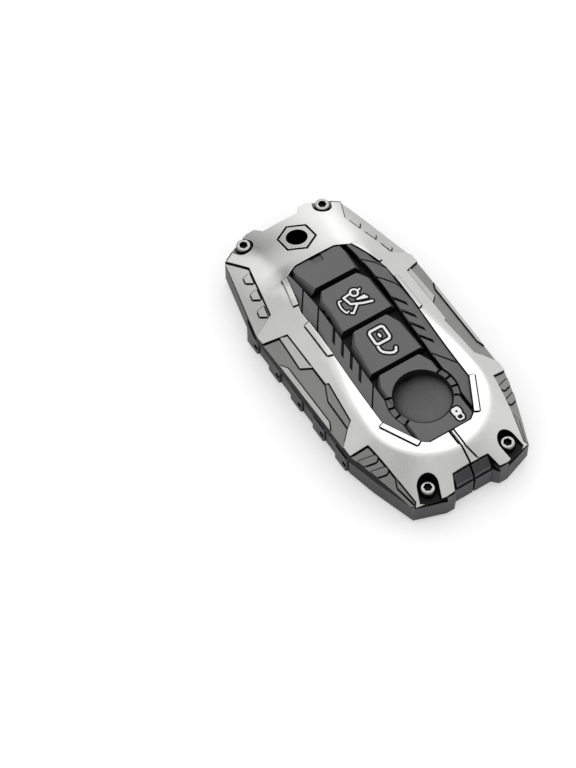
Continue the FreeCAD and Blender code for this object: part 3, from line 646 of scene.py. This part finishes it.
# %% [markdown]
# ## Keypad panel and keys
# One silicone moulding holds three keys. The faces are mid grey, and the slots between the louvres are so
# deep and narrow that they look black, so faces below the skin of the keypad take a near-black painted shade, and
# so do the foot walls of the keys and the wall of the finger dish. The dish floor is darkened towards its wall
# with painted shade.
# The top of each key is moulded a hair low, as a bed for the print. The far end of each key stands back, so
# that the gap to the step before it shows wide and black, and the dish leans to be deeper at its far side.

# %% Finish the keypad and keys
GREY, DEEP_SHADE, DISH_SHADE = range(3)
upright_rise, wall_rise, flat_rise, end_facing = 0.45, 0.7, 0.8, 0.6
key_drop, key_half, slot_depth, key_foot_depth = 0.45, 9, 0.6, 1.7
print_bed, bed_reach, stand_back, far_reach = 0.03, 0.2, 0.4, 3
dish_rim_radius, dish_floor_depth, dish_lean = 7.7, 0.5, 0.6 / 7.1


def where_true(shape, chosen):
    """Corners of the faces that are chosen."""
    return verts_of(face for face, pick in zip(shape.faces, chosen) if pick)


for node, body in (("keypad_panel", "front_half"), ("trunk_button", "trunk_key"), ("unlock_button", "unlock_key"),
                   ("lock_button", "lock_key")):
    shape = merged(node)
    corners, normals = corners_of(shape)
    middle = corners.mean(1)
    depth = depth_under_skin(corners).mean(1) - key_drop
    upright = np.abs(normals[:, 2]) < upright_rise
    flat_up = normals[:, 2] > flat_rise
    between = np.abs(middle[:, 0]) < key_half
    slot = (depth > slot_depth) & (upright | flat_up) if node == "keypad_panel" else depth > key_foot_depth
    foot_in_painted_shade = upright & (normals[:, 1] < -end_facing) & between
    in_dish = np.hypot(middle[:, 0], middle[:, 1] - tail_centre_y) < dish_rim_radius
    dish_wall = (normals[:, 2] < wall_rise) & in_dish & (node == "lock_button")
    dish_floor = in_dish & ~dish_wall & (depth > dish_floor_depth) & (node == "lock_button")
    # Painted shade: slots, key feet and the dish wall go near black, and the dish floor darkens towards its wall
    paint(shape, np.where(slot | foot_in_painted_shade | dish_wall, DEEP_SHADE, np.where(dish_floor, DISH_SHADE, GREY)))
    if node != "keypad_panel":
        for vert in where_true(shape, flat_up & (np.abs(depth) < bed_reach)):
            vert.co.z -= print_bed * MM
        far_end = upright & (normals[:, 1] > end_facing) & between & ~in_dish
        for vert in where_true(shape, far_end & (middle[:, 1] > middle[:, 1].max() - far_reach)):
            y = vert.co.y / MM
            vert.co.y -= stand_back * MM
            vert.co.z += (crown(y - stand_back) - crown(y)) * MM
        for vert in where_true(shape, dish_floor):
            vert.co.z -= (vert.co.y - tail_centre_y * MM) * dish_lean
    place(shape, node + "_silicone", [silicone_grey, silicone_painted_shade, silicone_dish_shade], body, "silicone_grey", node)

# %% [markdown]
# ## Eyelet bush
# The bush is turned from hexagon bar. Its top follows the crown, and the bore looks black from outside.
# Its head is a little smaller than its seat, so that a dark line runs round it.

# %% Finish the bush
head_z, head_size, bore_wall, top_gap = 6.8 * MM, 0.93, 3.5 * MM, 0.1
shape = merged("eyelet_bush")
corners, normals = corners_of(shape)
top_faces = (normals[:, 2] > flat_rise) & (np.abs(depth_under_skin(corners)).max(1) < top_gap)
paint(shape, ~top_faces)
top_set = slice_up(shape, top_faces)
settle(shape, top_set)
low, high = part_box("eyelet_bush")
axis_y = (low.y + high.y) / 2
for vert in shape.verts:
    if vert.co.z > head_z and math.hypot(vert.co.x, vert.co.y - axis_y) > bore_wall:
        vert.co.x *= head_size
        vert.co.y = axis_y + (vert.co.y - axis_y) * head_size
bush = place(shape, "eyelet_bush_turned", [bush_steel, socket_black], "rear_half", "bush_silver", "eyelet_bush")
skin_loops(bush.data, top_set)

# %% [markdown]
# ## Cap screws
# The real screws are M2 cap screws: a knurled head with a rounded rim and a hexagon socket with a small
# lead-in. One screw is lofted from rings of points, which turn from round to hexagonal on the way into the
# socket. The screw repeats, so Geometry Nodes put it on the four places of the CAD screws.

# %% Rings of one screw
screw_low, screw_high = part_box("screw_top_left")
head_radius = (screw_high.x - screw_low.x) / 2
screw_top = screw_high.z - screw_low.z
head_height, shank_radius, tip_radius, tip_length = 2.0 * MM, 1.0 * MM, 0.7 * MM, 0.3 * MM
knurl, knurl_from, knurl_to = 0.10 * MM, 0.1 * MM, 0.45 * MM
rim_inset, rim_round, lead_from, lead_to = 0.06 * MM, 0.36 * MM, 0.02 * MM, 0.10 * MM
socket_mouth, socket_flats, socket_depth = 2.0 * MM, 1.8 * MM, 1.0 * MM
point_radius, point_depth = 0.12 * MM, 0.25 * MM
ring_points = 72


def hexagon_reach(angle, across_flats):
    """Distance from the middle of a hexagon to its edge in one direction."""
    return across_flats / 2 / math.cos((angle + math.radians(30)) % math.radians(60) - math.radians(30))


def screw_rings():
    """Height, radius rule and finish of each ring, from the shank's end to the socket floor."""
    seat_z = screw_top - head_height
    yield 0.0, lambda a, i: tip_radius, 0
    yield tip_length, lambda a, i: shank_radius, 0
    yield seat_z, lambda a, i: shank_radius, 0
    yield seat_z, lambda a, i: head_radius - knurl, 0
    for z in (seat_z + knurl_from, screw_top - knurl_to):
        yield z, lambda a, i: head_radius - (knurl if i % 2 else 0.0), 0
    for bow in np.radians((0, 20, 45, 70, 90)):
        yield (screw_top - rim_round * (1 - math.sin(bow)),
               lambda a, i, b=bow: head_radius - rim_inset - rim_round * (1 - math.cos(b)), 0)
    yield screw_top - lead_from, lambda a, i: hexagon_reach(a, socket_mouth), 0
    for z in (screw_top - lead_to, screw_top - socket_depth):
        yield z, lambda a, i: hexagon_reach(a, socket_flats), 1
    yield screw_top - socket_depth - point_depth, lambda a, i: point_radius, 1


print("screw", round(2 * head_radius / MM, 2), "mm across,", round(screw_top / MM, 2), "mm long")

# %% Loft one screw
shape = bmesh.new()
angles = [2 * math.pi * i / ring_points for i in range(ring_points)]
last = None
for z, reach, finish in screw_rings():
    ring = [shape.verts.new((reach(a, i) * math.cos(a), reach(a, i) * math.sin(a), z))
            for i, a in enumerate(angles)]
    if last is None:
        shape.faces.new(ring[::-1])
    else:
        for i in range(ring_points):
            j = (i + 1) % ring_points
            shape.faces.new((last[i], last[j], ring[j], ring[i])).material_index = finish
    last = ring
shape.faces.new(last).material_index = 1
bmesh.ops.recalc_face_normals(shape, faces=shape.faces)
shade_smooth(shape, math.radians(28))
screw_mesh = to_mesh(shape, "one_screw", [screw_steel, socket_black])
print("one screw:", len(screw_mesh.polygons), "faces")

# %% Place four screws with Geometry Nodes
screw_nodes = sorted(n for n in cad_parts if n.startswith("screw"))
spots = bpy.data.meshes.new("screw_places")
boxes = [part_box(n) for n in screw_nodes]
spots.from_pydata([((lo.x + hi.x) / 2, (lo.y + hi.y) / 2, lo.z) for lo, hi in boxes], [], [])
one_screw = show(screw_mesh, "one_screw")
screws = bpy.data.node_groups.new("cap_screws", "GeometryNodeTree")
for in_out in ("INPUT", "OUTPUT"):
    screws.interface.new_socket("Geometry", in_out=in_out, socket_type="NodeSocketGeometry")
turn_each = 0.35
turn_id = named_input(screws, "Turn", "NodeSocketFloat", turn_each)
given = add(screws, "NodeGroupInput").outputs
model = add(screws, "GeometryNodeObjectInfo", {"Object": one_screw})
number = add(screws, "GeometryNodeInputIndex")
turned = add(screws, "ShaderNodeMath", {0: number.outputs[0], 1: given["Turn"]}, operation="MULTIPLY")
spin = add(screws, "ShaderNodeCombineXYZ", {"Z": turned.outputs[0]})
put = add(screws, "GeometryNodeInstanceOnPoints", {"Points": given["Geometry"], "Rotation": spin.outputs[0],
                                                   "Instance": model.outputs["Geometry"]})
solid = add(screws, "GeometryNodeRealizeInstances", {"Geometry": put.outputs[0]})
slots = add(screws, "GeometryNodeInputMaterialIndex")
is_socket = add(screws, "FunctionNodeCompare", {2: slots.outputs[0], 3: 1}, data_type="INT", operation="EQUAL")
oxidised = add(screws, "GeometryNodeSetMaterial", {"Geometry": solid.outputs[0], "Material": socket_black,
                                                   "Selection": is_socket.outputs[0]})
add(screws, "NodeGroupOutput", {0: oxidised.outputs[0]})
screw_set = run_tree(screws, {turn_id: turn_each}, spots)
bpy.data.objects.remove(one_screw)
seat(screw_set, "cap_screws", "front_half", "screw_steel", *screw_nodes)

# %% [markdown]
# ## Foam liner
# A die-cut foam pad lies on the floor of the rear half. Its upper edge is rounded by the cutting press.

# %% Round the liner
press_round, rim_gap = 0.35 * MM, 0.01 * MM
shape = merged("rear_liner")
bmesh.ops.dissolve_limit(shape, angle_limit=math.radians(1), verts=shape.verts, edges=shape.edges)
top = max(v.co.z for v in shape.verts)
rim = [e for e in shape.edges if all(v.co.z > top - rim_gap for v in e.verts)]
bmesh.ops.bevel(shape, geom=rim, offset=press_round, segments=3, profile=0.6, affect="EDGES")
for face in shape.faces:
    face.smooth = True
liner = place(shape, "rear_liner_foam", [foam_black], "rear_half", "liner_black", "rear_liner")

# %% [markdown]
# ## Pictograms
# Each key carries a small printed sign: a car with its boot open, an open padlock and a closed one. A sign is
# drawn as strokes. The distance to the nearest stroke is measured on a fine grid, and the film is cut out
# where that distance is half a stroke, which gives clean round ends and joins. The film then drops onto the
# key. The keyline is the same film, grown by a margin, one hair lower.

# %% Strokes
def arc(cx, cy, radius, start, end, steps=18):
    """Points along an arc, between two angles in degrees."""
    turns = np.radians(np.linspace(start, end, steps))
    return [(cx + radius * math.cos(t), cy + radius * math.sin(t)) for t in turns]


def rounded_box(cx, cy, w, h, r):
    """Closed outline of a box with half width w, half height h and rounded corners."""
    line = []
    for sx, sy, start in ((1, 1, 0), (-1, 1, 90), (-1, -1, 180), (1, -1, 270)):
        line += arc(cx + sx * (w - r), cy + sy * (h - r), r, start, start + 90, 7)
    return line + line[:1]


def stroke_distance(strokes, u, v):
    """Distance from grid points to the edge of the nearest stroke. Each stroke is a line and a width."""
    best = np.full(u.shape, 1e9)
    for line, width in strokes:
        for (ax, ay), (bx, by) in zip(line[:-1], line[1:]):
            dx, dy = bx - ax, by - ay
            t = np.clip(((u - ax) * dx + (v - ay) * dy) / max(dx * dx + dy * dy, 1e-9), 0, 1)
            best = np.minimum(best, np.hypot(u - ax - t * dx, v - ay - t * dy) - width / 2)
    return best


test_stroke = [([(0, 0), (1, 0)], 0.5)]
print("inside a 0.5 mm stroke:", stroke_distance(test_stroke, np.zeros(1), np.zeros(1)).tolist(), "mm")

# %% Cut a film out of a grid
grid_mm, grid_margin, above_all = 0.07, 1.2, 0.05


def film(strokes, grow, centre, carrier_tree, lift):
    """Printed film of all strokes, grown by a margin and dropped onto a key."""
    points = np.array([p for line, _ in strokes for p in line])
    low, high = points.min(0) - grid_margin, points.max(0) + grid_margin
    us, vs = np.arange(low[0], high[0], grid_mm), np.arange(low[1], high[1], grid_mm)
    u, v = np.meshgrid(us, vs, indexing="ij")
    field = stroke_distance(strokes, u, v) - grow
    shape = bmesh.new()
    made = {}

    def corner(key, p):
        if key not in made:
            x, y = centre[0] - p[0], centre[1] - p[1]
            hit = carrier_tree.ray_cast(Vector((x * MM, y * MM, above_all)), Vector((0, 0, -1)))[0]
            made[key] = shape.verts.new((x * MM, y * MM, hit.z + lift * MM))
        return made[key]

    inside = field < 0
    busy = inside[:-1, :-1] | inside[1:, :-1] | inside[:-1, 1:] | inside[1:, 1:]
    for i, j in zip(*np.nonzero(busy)):
        for three in (((i, j), (i + 1, j), (i + 1, j + 1)), ((i, j), (i + 1, j + 1), (i, j + 1))):
            outline = []
            for a, b in zip(three, three[1:] + three[:1]):
                if field[a] < 0:
                    outline.append(corner(a, (u[a], v[a])))
                if (field[a] < 0) != (field[b] < 0):
                    t = field[a] / (field[a] - field[b])
                    cut = (u[a] + (u[b] - u[a]) * t, v[a] + (v[b] - v[a]) * t)
                    outline.append(corner(tuple(sorted((a, b))), cut))
            if len(outline) > 2:
                shape.faces.new(outline)
    bmesh.ops.recalc_face_normals(shape, faces=shape.faces)
    if sum(face.normal.z for face in shape.faces) < 0:
        bmesh.ops.reverse_faces(shape, faces=shape.faces)
    return shape


print("films cut on a grid of", grid_mm, "mm")

# %% Print the signs
keyline_mm, keyline_lift, print_lift, mark_lift = 0.48, -0.020, -0.012, -0.004


def sign(name, node, body, centre, strokes, knockout=()):
    """White sign with a black keyline on one key, and black marks on top of it."""
    carrier = merged(node)
    carrier_tree = BVHTree.FromBMesh(carrier)
    carrier.free()
    layers = [("_keyline", strokes, keyline_mm, keyline_lift, black_ink),
              ("_print", strokes, 0.0, print_lift, white_ink)]
    if knockout:
        layers.append(("_mark", knockout, 0.0, mark_lift, black_ink))
    for ending, lines, grow, lift, ink in layers:
        shape = film(lines, grow, centre, carrier_tree, lift)
        rim = [e for e in shape.edges if e.is_boundary]
        skirt = bmesh.ops.extrude_edge_only(shape, edges=rim)["geom"]
        for vert in skirt:
            if isinstance(vert, bmesh.types.BMVert):
                vert.co.z -= print_bed * MM
        bmesh.ops.recalc_face_normals(shape, faces=shape.faces)
        place(shape, name + ending, [ink], body, "silicone_grey")


# A wheel, the line of the body, short strokes for glass and sill, the raised lid, an arrow with two heads
car = [(arc(-1.2, -2.2, 1.0, 0, 360, 30), 0.5),
       ([(-0.2, -2.45), (1.9, -2.2), (1.35, 0.2), (-1.4, 1.45), (-3.8, 2.15)], 0.55),
       ([(-0.8, -0.2), (-3.0, -0.2)], 0.4), ([(-1.0, -0.1), (-3.3, 0.6)], 0.4),
       ([(-2.3, 0.0), (-3.2, 0.4)], 0.55),
       ([(-2.3, -2.25), (-3.0, -2.45)], 0.45), ([(-0.1, 1.0), (2.1, 2.7), (2.6, 2.4)], 0.5),
       (arc(0.33, -0.05, 3.67, -28, 28, 14), 0.42), ([(2.85, -1.75), (3.5, -1.95), (3.85, -1.35)], 0.36),
       ([(2.85, 1.65), (3.5, 1.85), (3.85, 1.25)], 0.36)]
sign("trunk_sign", "trunk_button", "trunk_key", (0.05, 9.17), car)
# The padlock's case, its keyhole, and a shackle that stands open or shut
padlock_open = [(rounded_box(0, 0, 2.1, 1.9, 0.8), 0.62), ([(0, -0.25), (0, 0.3)], 0.62),
                ([(2.05, 2.45), (2.05, 3.5), (1.7, 4.25), (0.5, 5.2), (-0.5, 5.6), (-1.3, 5.45), (-1.75, 4.7)],
                 0.6)]
sign("unlock_sign", "unlock_button", "unlock_key", (0.2, -1.7), padlock_open)
padlock_shut = [(rounded_box(0, 0, 0.7, 0.7, 0.3), 0.9), ([(-0.5, 0), (0.5, 0)], 1.4),
                ([(0.85, 1.2), (0.85, 2.0), (0.55, 2.45), (-0.45, 2.45), (-0.75, 2.0), (-0.75, 1.2)], 0.42)]
sign("lock_sign", "lock_button", "lock_key", (4.5, -29.0), padlock_shut, [(arc(0, 0, 0.06, 0, 360, 8), 0.5)])

# %% [markdown]
# ## Floor, light and camera
# The cover lies on a white sweep under a large overhead softbox, as for a catalogue. The softbox is reflected
# in the level metal beside the keys, and the walls of the studio, which are greyer, in the flanks. The floor
# is lifted to white for the camera only, and keeps the shadow under the cover.

# %% Floor
floor_half, floor_glow = 3, 0.36
floor_mesh = bpy.data.meshes.new("studio_floor")
floor_corners = [(x * floor_half, y * floor_half, 0) for x, y in ((-1, -1), (1, -1), (1, 1), (-1, 1))]
floor_mesh.from_pydata(floor_corners, [], [(0, 1, 2, 3)])
floor = show(floor_mesh, "studio_floor")
# Matt white paper: a faint mottle and no sheen
floor_paint, tree, shader = new_finish("matt_white_sweep", Roughness=0.9, Specular_IOR_Level=0.0)
where = add(tree, "ShaderNodeTexCoord").outputs["Object"]
mottle = add(tree, "ShaderNodeTexNoise", {"Vector": where, "Scale": 1 / (40 * MM), "Detail": 2.0})
tone = add(tree, "ShaderNodeMix", {FACTOR: mottle.outputs["Fac"], FIRST: linear("#e6e6e6"),
                                   SECOND: linear("#eaeaea")}, data_type="RGBA")
shader.inputs["Emission Color"].default_value = linear("#ffffff")
rays = add(tree, "ShaderNodeLightPath").outputs
lifted = add(tree, "ShaderNodeMath", {0: rays["Is Camera Ray"], 1: floor_glow}, operation="MULTIPLY")
drive(tree, shader, Base_Color=tone.outputs[MIXED], Emission_Strength=lifted.outputs[0])
floor_mesh.materials.append(floor_paint)
print("floor placed")

# %% World
wall_glow, least_glow, soft_glow, spot_end = 0.42, 0.05, 0.80, 0.99
world = bpy.data.worlds.new("studio")
bpy.context.scene.world = world
world.use_nodes = True
tree = world.node_tree
sky = tree.nodes["Background"]
aim = add(tree, "ShaderNodeTexCoord").outputs["Generated"]
side, along, up = add(tree, "ShaderNodeSeparateXYZ", {0: aim}).outputs
# Each row adds or takes light where a direction passes from one value to another: ceiling, right wall, tail wall
rows = [(up, 0.2, 0.9, 0.58), (side, 0.35, 0.95, 0.38), (along, -0.1, -0.7, -0.26)]
# Two strip lights stand behind the eyelet end, with a dark gap between them, and a dark flag left of the tail
for facing, near, change in (((-0.25, 0.78, 0.57), 0.94, 0.30), ((0.20, 0.82, 0.54), 0.95, -0.60),
                             ((0.50, 0.80, 0.32), 0.91, 0.80), ((-0.70, -0.20, 0.68), 0.84, -0.50)):
    toward = add(tree, "ShaderNodeVectorMath", {0: aim, 1: facing}, operation="DOT_PRODUCT").outputs["Value"]
    rows.append((toward, near, spot_end, change))
glow = wall_glow
for value, start, end, change in rows:
    part = add(tree, "ShaderNodeMapRange", {"Value": value, "From Min": start, "From Max": end, "To Min": 0.0,
                                            "To Max": change}, interpolation_type="SMOOTHSTEP")
    glow = add(tree, "ShaderNodeMath", {0: part.outputs["Result"], 1: glow}, operation="ADD").outputs[0]
glow = add(tree, "ShaderNodeMath", {0: glow, 1: least_glow}, operation="MAXIMUM").outputs[0]
rays = add(tree, "ShaderNodeLightPath").outputs
shiny = add(tree, "ShaderNodeMath", {0: rays["Is Glossy Ray"], 1: rays["Is Transmission Ray"]},
            operation="MAXIMUM")
# A Mix node for plain numbers takes them at its sockets 2 and 3
soft = add(tree, "ShaderNodeMix", {0: shiny.outputs[0], 2: soft_glow, 3: glow})
seen = add(tree, "ShaderNodeMix", {0: rays["Is Camera Ray"], 2: soft.outputs[0], 3: 1.0})
sky.inputs["Color"].default_value = linear("#ffffff")
tree.links.new(seen.outputs[0], sky.inputs["Strength"])
print("world of", len(rows), "rows of light")

# %% Lamps
for name, bearing, distance, size, power in (("overhead_softbox", (0.286, 0.447, 0.848), 1.2, 1.0, 1.7),
                                             ("side_fill", (-0.8, -0.3, 0.6), 1.4, 0.8, 0.5)):
    lamp = bpy.data.lights.new(name, "AREA")
    lamp.size = size
    lamp.energy = power
    holder = show(lamp, name)
    holder.location = Vector(bearing).normalized() * distance
    holder.rotation_euler = Vector(bearing).to_track_quat("Z", "Y").to_euler()
    print(name, size, "m", power, "W")

# %% Camera
turn, rise = math.radians(-32.62), math.radians(57.98)
look_at, camera_distance = Vector((-0.02097, 0.00697, 0.0)), 0.65095
picture_height, focal_pixels = 768, 2600
camera = show(bpy.data.cameras.new("camera"), "camera")
back = Vector((math.sin(turn) * math.cos(rise), -math.cos(turn) * math.cos(rise), math.sin(rise)))
camera.location = look_at + back * camera_distance
camera.rotation_euler = back.to_track_quat("Z", "Y").to_euler()
camera.data.sensor_width = 36
camera.data.lens = camera.data.sensor_width * focal_pixels / picture_height
camera.data.clip_start = 0.01
bpy.context.scene.camera = camera
bpy.context.scene.view_settings.view_transform = "Standard"
print("camera at", [round(c, 3) for c in camera.location])
